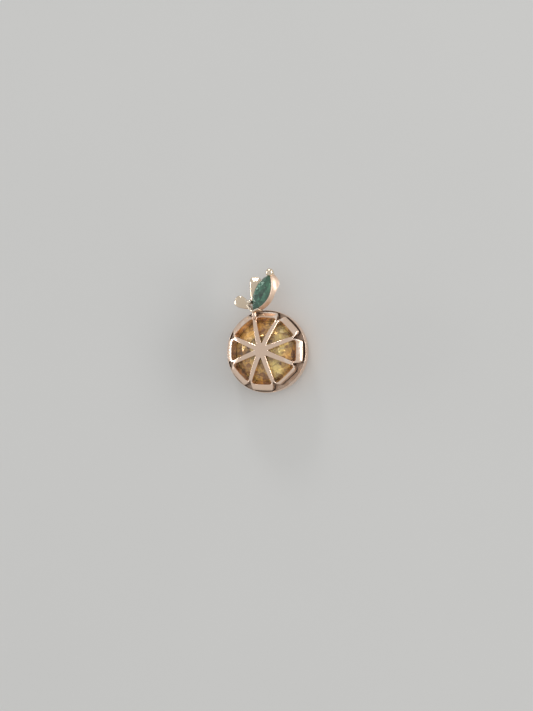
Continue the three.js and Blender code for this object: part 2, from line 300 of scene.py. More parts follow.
def noise(book, place, scale, detail=2.0, output="Fac"):
    values = {"Vector": place, "Scale": scale, "Detail": detail}
    return book.add("ShaderNodeTexNoise", {}, values, output)


def mixed(book, factor, first, second, blend="MIX"):
    # colours are links or red, green and blue
    first, second = [(*c, 1.0) if isinstance(c, tuple) else c for c in (first, second)]
    settings = {"data_type": "RGBA", "blend_type": blend}
    values = {"Factor_Float": factor, "A_Color": first, "B_Color": second}
    return book.add("ShaderNodeMix", settings, values, "Result_Color")


def onVectors(book, operation, *values):
    return book.add("ShaderNodeVectorMath", {"operation": operation}, dict(enumerate(values)))


# in each look, the weight after the roughness sets how dark the painted shade in the hollows is
roseGoldLook = {
    "body": (0.89, 0.675, 0.53),
    "deep": (0.78, 0.55, 0.41),
    "worn": (0.97, 0.86, 0.77),
    "roughness": 0.13,
    "paintedShade": 0.62,
    "scratch": 0.35,
    "wobble": 0.5,
}
paleGoldLook = {
    "body": (0.82, 0.68, 0.52),
    "deep": (0.62, 0.47, 0.33),
    "worn": (0.98, 0.93, 0.85),
    "roughness": 0.15,
    "paintedShade": 0.3,
    "scratch": 0.3,
    "wobble": 0.8,
}
satinGoldLook = {**roseGoldLook, "roughness": 0.4, "wobble": 0.3, "paintedShade": 0.5}

# what all the golds share; scales are repeats in a millimetre
goldSkin = {
    "patchScale": 0.9,
    "patchDepth": 0.5,
    "hazeScale": 4.5,
    "hazeRoughness": 0.22,
    "skinScale": 1.5,
    "hazeHeight": 0.08,
    "scratchScale": (26.0, 1.6, 9.0),
    "scratchTurn": 0.6,
    "scratchStart": 0.6,  # noise level over which a scratch shows
    "crossScale": (1.3, 30.0, 9.0),
    "crossTurn": -0.35,
    "crossStart": 0.61,
    "scratchContrast": 7,
    "scratchShine": 0.12,
    "scratchRoughness": 0.14,
    "scratchHeight": 0.05,
    "edgeStart": 0.52,  # pointiness; 0.5 is flat
    "hollowStart": 0.485,
    "edgeContrast": 14,
    "edgeWear": 0.6,
    # the next entries paint shade into the colour: ambient occlusion and hollows darken it and make it
    # rougher
    "shadeReach": 0.9,  # how far round a spot the metal shades it
    "shadeStart": 0.7,
    "shadeContrast": 2.6,
    "hollowShade": 0.2,
    "shadeDark": 0.16,
    "shadeRoughness": 0.2,
    "bumpStrength": 0.5,
    "bumpHeight": 0.05,
}


def goldFinish(name, look):
    # cast gold, tumbled bright: wavering skin, fine scratches, hazy patches, brighter worn edges, and
    # painted shade darkening its hollows and corners
    skin = goldSkin
    material, book, shader = newFinish(name)
    place = placeInMm(book)
    patches = noise(book, place, skin["patchScale"], 3.0)
    haze = noise(book, place, skin["hazeScale"], 4.0)
    along = stretched(book, place, skin["scratchScale"], (0.0, 0.0, skin["scratchTurn"]))
    across = stretched(book, place, skin["crossScale"], (0.0, 0.0, skin["crossTurn"]))
    lines = (noise(book, along, 1.0, 3.0) - skin["scratchStart"]) * skin["scratchContrast"]
    crossLines = (noise(book, across, 1.0, 3.0) - skin["crossStart"]) * skin["scratchContrast"]
    scratches = (lines.clamped() + crossLines.clamped()).clamped()
    pointiness = book.add("ShaderNodeNewGeometry", {}, {}, "Pointiness")
    edges = ((pointiness - skin["edgeStart"]) * skin["edgeContrast"]).clamped()
    hollows = ((skin["hollowStart"] - pointiness) * skin["edgeContrast"]).clamped()
    # painted shade: the colour is darkened and roughened where ambient occlusion and the hollows'
    # pointiness say little light reaches
    values = {"Distance": skin["shadeReach"] * mm}
    shade = book.add("ShaderNodeAmbientOcclusion", {"samples": 6}, values, "AO")
    paintedShade = (skin["shadeStart"] - shade) * skin["shadeContrast"] + hollows * skin["hollowShade"]
    paintedShade = paintedShade.clamped()
    dark = tuple(c * skin["shadeDark"] for c in look["deep"])
    colour = mixed(book, (patches - 0.35) * skin["patchDepth"], look["body"], look["deep"])
    worn = edges * skin["edgeWear"] + scratches * skin["scratchShine"]
    colour = mixed(book, worn, colour, look["worn"])
    colour = mixed(book, paintedShade * look["paintedShade"], colour, dark)
    book.feed(shader.inputs["Base Color"], colour)
    shader.inputs["Metallic"].default_value = 1.0
    rough = look["roughness"] + (haze - 0.4).clamped() * skin["hazeRoughness"]
    rough = rough + scratches * skin["scratchRoughness"] + paintedShade * skin["shadeRoughness"]
    book.feed(shader.inputs["Roughness"], rough)
    height = noise(book, place, skin["skinScale"], 2.0) * look["wobble"] + haze * skin["hazeHeight"]
    height = height - scratches * look["scratch"] * skin["scratchHeight"]
    values = {"Strength": skin["bumpStrength"], "Distance": skin["bumpHeight"] * mm, "Height": height}
    book.feed(shader.inputs["Normal"], book.add("ShaderNodeBump", {}, values, "Normal"))
    return material


yellowGemLook = {
    "stops": [
        (0.0, (0.13, 0.055, 0.01)),
        (0.24, (0.36, 0.2, 0.05)),
        (0.44, (0.58, 0.41, 0.15)),
        (0.62, (0.78, 0.57, 0.17)),
        (0.82, (0.95, 0.73, 0.25)),
        (1.0, (1.0, 0.88, 0.55)),
    ],
    "warm": (1.08, 0.76, 0.42),
    # colour and weight of the painted dark lines between the painted facet reflections
    "crease": (0.10, 0.045, 0.01),
    "facetLineShade": 0.7,
    "cell": 1.3,
    "flash": 3.1,
    "tilt": 0.5,
    "metallic": 0.1,
    "coat": 1.75,
}
greenGemLook = {
    "stops": [
        (0.0, (0.006, 0.035, 0.02)),
        (0.3, (0.014, 0.08, 0.048)),
        (0.52, (0.03, 0.135, 0.085)),
        (0.74, (0.08, 0.25, 0.17)),
        (1.0, (0.24, 0.42, 0.31)),
    ],
    "warm": (1.0, 0.96, 0.85),
    # colour and weight of the painted dark lines between the painted facet reflections
    "crease": (0.006, 0.03, 0.018),
    "facetLineShade": 0.5,
    "cell": 1.5,
    "flash": 3.4,
    "tilt": 0.55,
    "metallic": 0.1,
    "coat": 1.7,
}

# what both stones share
gemCut = {
    "bendScale": 0.8,  # bends the facets' edges a little
    "bend": 0.5,
    "bigShare": 0.62,  # of the big facets in a patch's tone; the small ones have the rest
    "driftScale": 0.32,  # slow change from clear to warm
    "driftStart": 0.42,
    "driftContrast": 5,
    # the painted dark lines between facet reflections: their cells, width, contrast and where they show
    "facetLineCell": 1.3,
    "creaseWidth": 0.075,
    "facetLineContrast": 16,
    "facetLineScale": 1.1,  # where the painted dark lines show at all
    "creaseStart": 0.4,
    "facetLineFade": 6,
    "flashMetallic": 0.3,
    "roughness": 0.12,
    "toneRoughness": 0.2,
    "coatRoughness": 0.02,
}


def facetCells(book, place, scale):
    settings = {"distance": "MANHATTAN"}
    return book.add("ShaderNodeTexVoronoi", settings, {"Vector": place, "Scale": scale}, "Color")


def gemFinish(name, look, seedShift):
    # a cut stone: broken reflections of its back facets, painted into the colour, under a clear
    # polished front
    cut = gemCut
    material, book, shader = newFinish(name)
    place = placeInMm(book)
    shifted = onVectors(book, "ADD", place, seedShift)
    warp = noise(book, shifted, cut["bendScale"], 1.0, "Color")
    bent = onVectors(book, "MULTIPLY_ADD", warp, (cut["bend"],) * 3, shifted)
    big = facetCells(book, bent, look["cell"])
    small = facetCells(book, bent, look["flash"])
    bigTone = book.add("ShaderNodeSeparateXYZ", {}, {0: big}, "X")
    smallTone = book.add("ShaderNodeSeparateXYZ", {}, {0: small}, "Y")
    tone = (bigTone * cut["bigShare"] + smallTone * (1 - cut["bigShare"])).clamped()
    colour = book.add("ShaderNodeValToRGB", {"stops": look["stops"]}, {"Fac": tone}, "Color")
    drift = noise(book, shifted, cut["driftScale"], 1.0) - cut["driftStart"]
    warmer = mixed(book, 1.0, colour, look["warm"], "MULTIPLY")
    colour = mixed(book, (drift * cut["driftContrast"]).clamped(), colour, warmer)
    # painted shade: dark lines along the edges of the painted facet reflections, shown where a noise
    # allows
    edge = book.add(
        "ShaderNodeTexVoronoi",
        {"feature": "DISTANCE_TO_EDGE"},
        {"Vector": bent, "Scale": look["cell"] * cut["facetLineCell"]},
        "Distance",
    )
    lines = ((cut["creaseWidth"] - edge) * cut["facetLineContrast"]).clamped()
    shown = noise(book, shifted, cut["facetLineScale"], 2.0) - cut["creaseStart"]
    lines = lines * (shown * cut["facetLineFade"]).clamped()
    colour = mixed(book, lines * look["facetLineShade"], colour, look["crease"])
    book.feed(shader.inputs["Base Color"], colour)
    book.feed(shader.inputs["Metallic"], look["metallic"] + smallTone * cut["flashMetallic"])
    book.feed(shader.inputs["Roughness"], cut["roughness"] + bigTone * cut["toneRoughness"])
    shader.inputs["Coat Weight"].default_value = 1.0
    shader.inputs["Coat Roughness"].default_value = cut["coatRoughness"]
    shader.inputs["Coat IOR"].default_value = look["coat"]
    # each small facet leans its own way
    spread = onVectors(book, "MULTIPLY_ADD", small, (look["tilt"],) * 3, (-look["tilt"] / 2,) * 3)
    facing = book.add("ShaderNodeNewGeometry", {}, {}, "Normal")
    leaning = onVectors(book, "ADD", facing, spread)
    book.feed(shader.inputs["Normal"], onVectors(book, "NORMALIZE", leaning))
    return material


roseGold = goldFinish("roseGold", roseGoldLook)
satinGold = goldFinish("satinGold", satinGoldLook)
paleGold = goldFinish("paleGold", paleGoldLook)
yellowGem = gemFinish("yellowGem", yellowGemLook, (3.1, 1.7, 0.4))
greenGem = gemFinish("greenGem", greenGemLook, (9.3, 4.2, 2.6))
print("finishes made")


# Trees for turned, drawn and cut shapes

def turnedTree():
    # the start mesh's points, radius along X and height along Z, turned round the Z axis
    tree = ShapeTree("turnedShape", {"Sides": "NodeSocketInt", "Merge": "NodeSocketFloat"})
    profile, sides = tree.given("Shape"), tree.given("Sides")
    count = tree.add("GeometryNodeAttributeDomainSize", {}, {"Geometry": profile}, "Point Count")
    grid = tree.add("GeometryNodeMeshGrid", {}, {"Vertices X": sides + 1, "Vertices Y": count})
    index = tree.add("GeometryNodeInputIndex")
    column = index.maths("FLOOR", index / count)
    turn = column / sides * (2 * math.pi)
    position = tree.add("GeometryNodeInputPosition")
    sampled = tree.add(
        "GeometryNodeSampleIndex",
        {"data_type": "FLOAT_VECTOR"},
        {"Geometry": profile, "Value": position, "Index": index % count},
    )
    radius = tree.add("ShaderNodeSeparateXYZ", {}, {0: sampled}, "X")
    height = tree.add("ShaderNodeSeparateXYZ", {}, {0: sampled}, "Z")
    spot = tree.add(
        "ShaderNodeCombineXYZ",
        {},
        {"X": radius * turn.maths("COSINE", turn), "Y": radius * turn.maths("SINE", turn), "Z": height},
    )
    shaped = tree.add("GeometryNodeSetPosition", {}, {"Geometry": grid, "Position": spot})
    values = {"Geometry": shaped, "Distance": tree.given("Merge")}
    tree.end(tree.add("GeometryNodeMergeByDistance", {}, values))
    return tree


def wireTree():
    # a wire drawn along the start mesh's edges; its point attribute "girth" is the radius there
    tree = ShapeTree("drawnWire", {"Sides": "NodeSocketInt", "Flatness": "NodeSocketFloat"})
    path = tree.add("GeometryNodeMeshToCurve", {}, {"Mesh": tree.given("Shape")})
    upright = tree.add("GeometryNodeSetCurveNormal", {"mode": "Z_UP"}, {"Curve": path})
    values = {"Resolution": tree.given("Sides"), "Radius": 1.0}
    ring = tree.add("GeometryNodeCurvePrimitiveCircle", {}, values)
    size = tree.add("ShaderNodeCombineXYZ", {}, {"X": 1.0, "Y": tree.given("Flatness"), "Z": 1.0})
    section = tree.add("GeometryNodeTransform", {}, {"Geometry": ring, "Scale": size})
    girth = tree.add("GeometryNodeInputNamedAttribute", {"data_type": "FLOAT"}, {"Name": "girth"})
    wire = tree.add(
        "GeometryNodeCurveToMesh",
        {},
        {"Curve": upright, "Profile Curve": section, "Scale": girth, "Fill Caps": True},
    )
    tree.end(wire)
    return tree


def cutStoneTree(ringCount):
    # the start mesh's corners and rings of corners on a dome, wrapped in flat facets
    inputs = {}
    if ringCount:
        inputs = {label: "NodeSocketFloat" for label in ("Radius", "Dome", "Dome Middle")}
    for i in range(ringCount):
        inputs[f"Share {i}"] = "NodeSocketFloat"
        inputs[f"Facets {i}"] = "NodeSocketInt"
        inputs[f"Turn {i}"] = "NodeSocketFloat"
    tree = ShapeTree("cutStone", inputs)
    parts = [tree.given("Shape")]
    for i in range(ringCount):
        dome, middle = tree.given("Dome"), tree.given("Dome Middle")
        radius = tree.given("Radius") * tree.given(f"Share {i}")
        facets = tree.given(f"Facets {i}")
        ring = tree.add("GeometryNodeMeshCircle", {}, {"Vertices": facets, "Radius": radius})
        height = middle + (dome * dome - radius * radius) ** 0.5
        lift = tree.add("ShaderNodeCombineXYZ", {}, {"X": 0.0, "Y": 0.0, "Z": height})
        angle = tree.given(f"Turn {i}") * (2 * math.pi) / facets
        turn = tree.add("ShaderNodeCombineXYZ", {}, {"X": 0.0, "Y": 0.0, "Z": angle})
        values = {"Geometry": ring, "Translation": lift, "Rotation": turn}
        parts.append(tree.add("GeometryNodeTransform", {}, values))
    joined = tree.add("GeometryNodeJoinGeometry", {}, {"Geometry": list(reversed(parts))})
    tree.end(tree.add("GeometryNodeConvexHull", {}, {"Geometry": joined}))
    return tree


turnedShape = turnedTree()
drawnWire = wireTree()
print("shape trees made")


# The cup: a bowl with a flat back and a thin rounded lip. Inside are a ledge for the frame with
# a groove round it, and the bore and sloping seat for the yellow stone

fitGap = 0.03  # between two pieces of metal, and round each stone
mergeReach = 0.0005 * mm

cupHigh = boxInMm("cup")[1]
frameLow, frameHigh = boxInMm("slice_frame")
cupSizes = {
    "girdleRadius": cupHigh.x,
    "girdleHeight": 1.3,
    "backRadius": 3.4,
    "ledgeHeight": frameLow.z - fitGap,
    "lipTop": cupHigh.z,
    "lipOuter": 4.213,
    "lipInner": 4.153,
    "boreRadius": 3.33,
    "grooveInner": 3.6,
    "grooveFloor": 1.6,
    "seatInner": 2.91,
    "seatTop": 1.56,
    "seatDrop": 0.18,
    "floor": 0.4,
    "corner": 0.025,  # radius of the ledge's and the groove's corners
    "sides": 144,
    "steps": 16,  # from the back up to the girdle
}


def arcPoints(middle, radius, startAngle, endAngle, steps):
    found = []
    for i in range(steps + 1):
        angle = math.radians(startAngle + (endAngle - startAngle) * i / steps)
        found.append((middle[0] + radius * math.cos(angle), middle[1] + radius * math.sin(angle)))
    return found


def cupProfile(s):
    # out and up, from the middle of the back round to the middle of the floor
    pairs = [(0, 0), (s["backRadius"] * 0.5, 0), (s["backRadius"], 0)]
    for i in range(1, s["steps"] + 1):
        angle = i / s["steps"] * math.pi / 2
        out = s["backRadius"] + (s["girdleRadius"] - s["backRadius"]) * math.sin(angle)
        pairs.append((out, s["girdleHeight"] * (1 - math.cos(angle))))
    lipRadius = (s["lipOuter"] - s["lipInner"]) / 2
    lipMiddle = ((s["lipOuter"] + s["lipInner"]) / 2, s["lipTop"] - lipRadius)
    for i in range(1, 6):
        angle = i / 6 * math.pi / 2
        out = s["girdleRadius"] + (s["lipOuter"] - s["girdleRadius"]) * (1 - math.cos(angle))
        pairs.append((out, s["girdleHeight"] + (lipMiddle[1] - s["girdleHeight"]) * math.sin(angle)))
    pairs += arcPoints(lipMiddle, lipRadius, 0, 180, 8)
    corner = s["corner"]
    pairs += arcPoints((s["lipInner"] - corner, s["grooveFloor"] + corner), corner, 0, -90, 4)
    pairs += [(s["grooveInner"], s["grooveFloor"]), (s["grooveInner"], s["ledgeHeight"])]
    pairs += arcPoints((s["boreRadius"] + corner, s["ledgeHeight"] - corner), corner, 90, 180, 4)
    pairs += [(s["boreRadius"], s["seatTop"]), (s["seatInner"], s["seatTop"] - s["seatDrop"])]
    pairs += [(s["seatInner"], s["floor"]), (0, s["floor"])]
    return [(out, 0, height) for out, height in pairs]


cup = madeBy(
    turnedShape,
    "cupBowl",
    mmMesh("cupBowl", cupProfile(cupSizes)),
    {"Sides": cupSizes["sides"], "Merge": mergeReach, "Finish": roseGold},
)
finished(cleaned(cup, 40), "rose_gold", "cup")
print("cup made")


# The slice frame: a domed wheel of eight rounded segments with bevelled windows

frameSizes = {
    "segments": 8,
    "firstSpoke": 20,
    "spokeOffsets": [1.7, 0, -3.4, 1.4, -0.5, 0, -2.3, 1.6],
    "middle": Vector((-0.08, 0.02, 0)),
    "reach": 3.86,
    "edgeOffsets": [0, 0, 0, 0, 0, 0, -0.22, 0],
    "edgeBulge": 0.05,
    "edgeStraight": 0.95,
    "notchDepth": 0.5,
    "notchTurn": 0.38,
    "notchOpening": 0.16,
    "notchWidth": 0.05,
    # insets and depths, from the flank up to the face
    "rimBevel": [(0.0, 0.03), (0.008, 0.018), (0.02, 0.009), (0.034, 0.003), (0.05, 0.0)],
    "rimBevelStart": 3.64,
    "rimBevelFull": 3.9,
    "notchBevel": 0.4,  # share of the bevel that is left beside the notches
    "skirtOut": 0.1,
    "skirtDown": 0.11,
    "skirtSteps": [0.06, 0.5, 0.94, 1.0],
    "skirtLeast": 0.3,  # share of skirtDown beside the notches
    "skirtFoot": 0.01,
    "hubHeight": frameHigh.z,
    "hubRise": 1.365,
    "thickness": 0.68,
    "flankSlope": 0.1,
    "spokeWidth": 0.38,
    "windowApex": 0.58,
    "windowRim": 0.4,
    "windowCut": 0.42,
    "apexCut": 0.12,
    "bottom": frameLow.z,
    "bevel": [(0.0, 0.06), (0.006, 0.042), (0.018, 0.025), (0.036, 0.01), (0.048, 0.003), (0.06, 0.0)],
    "fill": 0.2,  # spacing of the face's inner points
}
domeRadius = frameSizes["reach"] ** 2 + frameSizes["hubRise"] ** 2
domeRadius /= 2 * frameSizes["hubRise"]
domeMiddle = frameSizes["hubHeight"] - domeRadius
crestHeight = frameSizes["hubHeight"] - frameSizes["hubRise"]


def spokeAngle(index):
    s = frameSizes
    even = s["firstSpoke"] + 360 / s["segments"] * index
    return math.radians(even + s["spokeOffsets"][index % s["segments"]])


def onSegment(index, out, across):
    middle = (spokeAngle(index) + spokeAngle(index + 1)) / 2
    return Matrix.Rotation(middle, 2) @ Vector((out, across))


def onSpoke(index, radius, across=0.0):
    return Matrix.Rotation(spokeAngle(index), 2) @ Vector((radius, across))


def halfSegment(index):
    return (spokeAngle(index + 1) - spokeAngle(index)) / 2


def frameOutline(s):
    found = []
    notch, narrow = s["reach"] - s["notchDepth"], s["notchWidth"] / 2
    turn = notch + s["notchTurn"]
    for index in range(s["segments"]):
        reach = s["reach"] + s["edgeOffsets"][index]
        left = onSegment(index, reach, -s["edgeStraight"])
        right = onSegment(index, reach, s["edgeStraight"])
        found.append(onSpoke(index, notch - narrow))
        found.append(onSpoke(index, notch - narrow * 0.7, narrow * 0.7))
        start, bend = onSpoke(index, notch, narrow), onSpoke(index, turn, s["notchOpening"])
        found += quadratic(start, bend, left, 12)
        found += quadratic(left, onSegment(index, reach + 2 * s["edgeBulge"], 0), right, 14)
        end = onSpoke(index + 1, notch, -narrow)
        found += quadratic(right, onSpoke(index + 1, turn, -s["notchOpening"]), end, 12)
        found += [end, onSpoke(index + 1, notch - narrow * 0.7, -narrow * 0.7)]
    return found


def windowOutline(s, index):
    # clockwise, so that the metal is on the left of it as it is on the outline's
    reach, half = s["reach"] - s["windowRim"], halfSegment(index)
    across = reach * math.tan(half) - s["spokeWidth"] / 2 / math.cos(half)
    places = [(s["windowApex"], 0), (reach, across), (reach, -across)]
    corners = [onSegment(index, *place) for place in places]
    cuts = [s["apexCut"], s["windowCut"], s["windowCut"]]
    found = []
    for i, corner in enumerate(corners):
        before, after = corners[i - 1], corners[(i + 1) % 3]
        start = corner + (before - corner).normalized() * cuts[i]
        end = corner + (after - corner).normalized() * cuts[i]
        nextStart = after + (corner - after).normalized() * cuts[(i + 1) % 3]
        found += quadratic(start, corner, end, 9)
        found += straight(end, nextStart, 0.12)
    return found


def insetLoop(loop, distance, shareAt=None):
    # each point moved to the left of the loop's direction by a distance, or by its own share of it
    found = []
    for i, point in enumerate(loop):
        before = (point - loop[i - 1]).normalized()
        after = (loop[(i + 1) % len(loop)] - point).normalized()
        first, second = Vector((-before.y, before.x)), Vector((-after.y, after.x))
        widening = max(0.35, 1 + first.dot(second))
        share = shareAt(point) if shareAt else 1.0
        found.append(point + (first + second) / widening * distance * share)
    return found


def skirtShare(point):
    # the skirt under the rim dies out beside the notches
    start, full = frameSizes["rimBevelStart"], frameSizes["rimBevelFull"]
    return max(0.0, min(1.0, (point.length - start) / (full - start)))


def rimShare(point):
    # the bevel round the rim is narrow beside the notches
    least = frameSizes["notchBevel"]
    return least + (1 - least) * skirtShare(point)


def spreadAt(height):
    return 1 + frameSizes["flankSlope"] * (crestHeight - height) / frameSizes["reach"]


def outerPoint(flat, depth):
    # a point of the outline on the dome, lowered by a depth
    height = crestHeight
    for _ in range(8):
        out = flat * spreadAt(height)
        height = domeMiddle + math.sqrt(domeRadius ** 2 - out.length_squared) - depth
    out = flat * spreadAt(height)
    return Vector((out.x, out.y, height))


windowReach = frameSizes["reach"] - frameSizes["windowRim"]
windowTop = domeMiddle + math.sqrt(domeRadius ** 2 - windowReach ** 2)


def windowPoint(flat, depth):
    # a point on the line from a window's edge to the dome's middle, so the windows narrow downwards
    towards = Vector((flat.x, flat.y, windowTop - domeMiddle)).normalized()
    found = towards * (domeRadius - depth) + Vector((0, 0, domeMiddle))
    if found.z < frameSizes["bottom"]:
        found = towards * ((frameSizes["bottom"] - domeMiddle) / towards.z) + Vector((0, 0, domeMiddle))
    return found


def insideLoop(point, loop):
    inside = False
    for i in range(len(loop)):
        a, b = loop[i - 1], loop[i]
        if (a.y > point.y) != (b.y > point.y):
            if point.x < (b.x - a.x) * (point.y - a.y) / (b.y - a.y) + a.x:
                inside = not inside
    return inside


def filledBetween(outer, holes, spacing, heightAt):
    # triangles of the sheet inside one loop and outside the others, with evenly spread points
    rowStep = spacing * 0.866  # height of a triangle with even sides
    clearance = spacing * 0.45  # from a loop to the nearest of those points
    flatOuter = [Vector((p.x, p.y)) for p in outer]
    flatHoles = [[Vector((p.x, p.y)) for p in hole] for hole in holes]
    solidPoints = list(outer)
    flats = list(flatOuter)
    edges = [(i, (i + 1) % len(outer)) for i in range(len(outer))]
    for hole, flatHole in zip(holes, flatHoles):
        base = len(flats)
        edges += [(base + i, base + (i + 1) % len(hole)) for i in range(len(hole))]
        flats += flatHole
        solidPoints += hole
    border = list(flats)
    reach = max(p.length for p in flatOuter)
    rows = int(reach / rowStep) + 1
    for row in range(-rows, rows + 1):
        for column in range(-rows, rows + 1):
            spot = Vector(((column + (row % 2) / 2) * spacing, row * rowStep))
            if spot.length > reach or not insideLoop(spot, flatOuter):
                continue
            if any(insideLoop(spot, hole) for hole in flatHoles):
                continue
            if min((spot - p).length_squared for p in border) > clearance ** 2:
                flats.append(spot)
                solidPoints.append(Vector((spot.x, spot.y, heightAt(spot))))
    found, _, triangles, origins, _, _ = delaunay_2d_cdt(flats, edges, [], 0, 1e-7)
    points = [solidPoints[source[0]] for source in origins]
    kept = []
    for triangle in triangles:
        middle = sum((found[i] for i in triangle), Vector((0, 0))) / 3
        inHole = any(insideLoop(middle, hole) for hole in flatHoles)
        if insideLoop(middle, flatOuter) and not inHole:
            kept.append(tuple(triangle))
    return points, kept


def addPart(points, faces, partPoints, partFaces):
    base = len(points)
    points += partPoints
    faces += [tuple(base + i for i in face) for face in partFaces]


def sliceFrameMesh(s):
    points, faces = [], []
    outline = frameOutline(s)
    topRings = []
    for inset, depth in s["rimBevel"]:
        flats = insetLoop(outline, inset, rimShare)
        topRings.append([outerPoint(p, depth * rimShare(old)) for p, old in zip(flats, outline)])
    flank = []
    for part in s["skirtSteps"]:
        skirt = insetLoop(outline, -s["skirtOut"] * part, skirtShare)
        foot = s["skirtFoot"] if part == 1.0 else 0
        ring = []
        for flat, old, top in zip(skirt, outline, topRings[0]):
            share = s["skirtLeast"] + (1 - s["skirtLeast"]) * skirtShare(old)
            height = top.z - s["skirtDown"] * part * share - foot
            out = flat * spreadAt(top.z)
            ring.append(Vector((out.x, out.y, height)))
        flank.append(ring)
    skirtEdge = flank[-1]
    for step in range(1, 4):
        ring = [Vector((p.x, p.y, p.z + (s["bottom"] - p.z) * step / 3)) for p in skirtEdge]
        flank.append(ring)
    addPart(points, faces, *stacked([*reversed(topRings), *flank], False, False))
    topHoles, bottomHoles = [], []
    for index in range(s["segments"]):
        window = windowOutline(s, index)
        rings = []
        for inset, depth in s["bevel"]:
            rings.append([windowPoint(p, depth) for p in insetLoop(window, inset)])
        first = s["bevel"][0][1]
        walls = []
        for step in range(1, 5):
            walls.append([windowPoint(p, first + (s["thickness"] - first) * step / 4) for p in window])
        addPart(points, faces, *stacked([*reversed(rings), *walls], False, False))
        topHoles.append(rings[-1])
        bottomHoles.append(walls[-1])

    def domeAt(spot):
        return domeMiddle + math.sqrt(domeRadius ** 2 - spot.length_squared)

    def underAt(spot):
        inner = (domeRadius - s["thickness"]) ** 2 - spot.length_squared
        return max(s["bottom"], domeMiddle + math.sqrt(max(0, inner)))

    addPart(points, faces, *filledBetween(topRings[-1], topHoles, s["fill"], domeAt))
    addPart(points, faces, *filledBetween(flank[-1], bottomHoles, s["fill"], underAt))
    return mmMesh("sliceFrame", [p + s["middle"] for p in points], faces)


addPlain("sliceFrame", sliceFrameMesh(frameSizes), roseGold, 38, "rose_gold", "slice_frame")
print("slice frame made")


# The yellow stone: a domed stone cut in rings of small facets

stoneLow, stoneHigh = boxInMm("yellow_stone")
yellowSizes = {
    "radius": (stoneHigh.x - stoneLow.x) / 2,
    "dome": domeRadius - frameSizes["thickness"] - fitGap,
    "rings": [
        # share of the stone's radius, facets, turn in facets
        (0.16, 8, 0.5), (0.32, 12, 0.0), (0.48, 18, 0.5), (0.64, 24, 0.0),
        (0.79, 30, 0.5), (0.9, 36, 0.0), (0.97, 42, 0.5),
    ],
    "edgeTop": 1.72,
    "edgeBottom": 1.58,
    "edgeSides": 48,
    "backRings": [(0.78, 24, 1.22), (0.52, 16, 0.84), (0.27, 8, 0.55)],  # share, facets, height
}


def yellowStoneStart(s):
    # the corners of the edge and the back
    points = []
    edge = [(1.0, s["edgeSides"], height) for height in (s["edgeTop"], s["edgeBottom"])]
    for share, count, height in [*edge, *s["backRings"]]:
        for i in range(count):
            angle = 2 * math.pi * i / count
            radius = share * s["radius"]
            points.append((radius * math.cos(angle), radius * math.sin(angle), height))
    return mmMesh("yellowStone", points)


stoneTree = cutStoneTree(len(yellowSizes["rings"]))
stoneValues = {
    "Radius": yellowSizes["radius"] * mm,
    "Dome": yellowSizes["dome"] * mm,
    "Dome Middle": domeMiddle * mm,
    "Finish": yellowGem,
}
for i, (share, facets, turn) in enumerate(yellowSizes["rings"]):
    stoneValues.update({f"Share {i}": share, f"Facets {i}": facets, f"Turn {i}": turn})
yellowStone = madeBy(stoneTree, "yellowStone", yellowStoneStart(yellowSizes), stoneValues)
yellowStone.data.transform(Matrix.Translation(frameSizes["middle"] * mm))
cleaned(yellowStone, 1, even=False)
finished(yellowStone, "yellow_gem", "yellow_stone")
print("yellow stone made")


# The leaf with the green stone: everything on it is made flat, then leaned and turned into place

leafSizes = {
    "foot": Vector((-1.08, 4.16, 2.95)),
    "lean": 25.2,
    "turn": 20,
    "length": 4.0,
    "width": 2.0,
    "crown": 0.32,
    "pavilion": 0.75,
    "edge": 0.03,  # half its thickness
}
leafTurning = Matrix.Rotation(math.radians(-leafSizes["lean"]), 3, "Z") @ Matrix.Rotation(
    math.radians(-leafSizes["turn"]), 3, "Y"
)
leafMiddle = leafSizes["foot"] + leafTurning @ Vector((0, leafSizes["length"] / 2, 0))
leafPlace = Matrix.Translation(leafMiddle) @ leafTurning.to_4x4()


def marquiseHalf(share, width):
    return width / 2 * (1 - share ** 2)


def marquiseRing(scale, height, count, offset=0.0, grow=0.0):
    # points round a marquise, scaled about its middle
    length, width = leafSizes["length"] + 2 * grow, leafSizes["width"] + 2 * grow
    found = []
    for i in range(count):
        angle = 2 * math.pi * (i + offset) / count
        share = math.cos(angle)
        side = 1 if math.sin(angle) >= 0 else -1
        out = side * marquiseHalf(share, width)
        found.append(Vector((out * scale, share * length / 2 * scale, height)))
    return found


greenRings = [
    # scale, height, facets, turn in facets
    (0.6, leafSizes["crown"], 8, 0.0),
    (0.81, 0.205, 8, 0.5),
    (1.0, leafSizes["edge"], 16, 0.0),
    (1.0, -leafSizes["edge"], 16, 0.0),
    (0.62, -0.4, 8, 0.5),
    (0.12, -leafSizes["pavilion"], 8, 0.0),
]
greenPoints = [p for ring in greenRings for p in marquiseRing(*ring)]
greenStart = mmMesh("greenStone", moved(greenPoints, leafPlace))
greenStone = madeBy(cutStoneTree(0), "greenStone", greenStart, {"Finish": greenGem})
cleaned(greenStone, 1, even=False)
finished(greenStone, "green_gem", "green_stone")

settingSizes = {
    "wall": 0.08,
    "top": -0.055,
    "depth": 0.78,
    "flare": 2.9,
    "hollow": 1.8,
    "stretch": 0.06,
    "sides": 96,
    "rounding": 0.05,
    "seatScale": 0.94,
    "seatDrop": 0.14,
    "rimRise": 0.012,  # the bright lip round the stone
    "rimOut": 0.006,
    "topRounding": 0.8,  # share of the rounding that the top edge has inwards
    "steps": 8,
}


def settingRing(s, depth, inset=0.0):
    # the setting's outline at a depth under its top; its right shoulder flares towards the tip
    ring = marquiseRing(1.0, s["top"] - depth, s["sides"], 0.0, s["wall"] - inset)
    length = leafSizes["length"] + 2 * s["wall"]
    share = max(0.0, min(1.0, depth / s["depth"]))
    for point in ring:
        towardsTip = max(0.0, min(1.0, 2 * point.y / length)) ** 3
        if point.x > 0:
            point.x *= 1 + share ** s["hollow"] * s["flare"] * towardsTip
        point.y *= 1 + share * s["stretch"] * towardsTip
    return ring


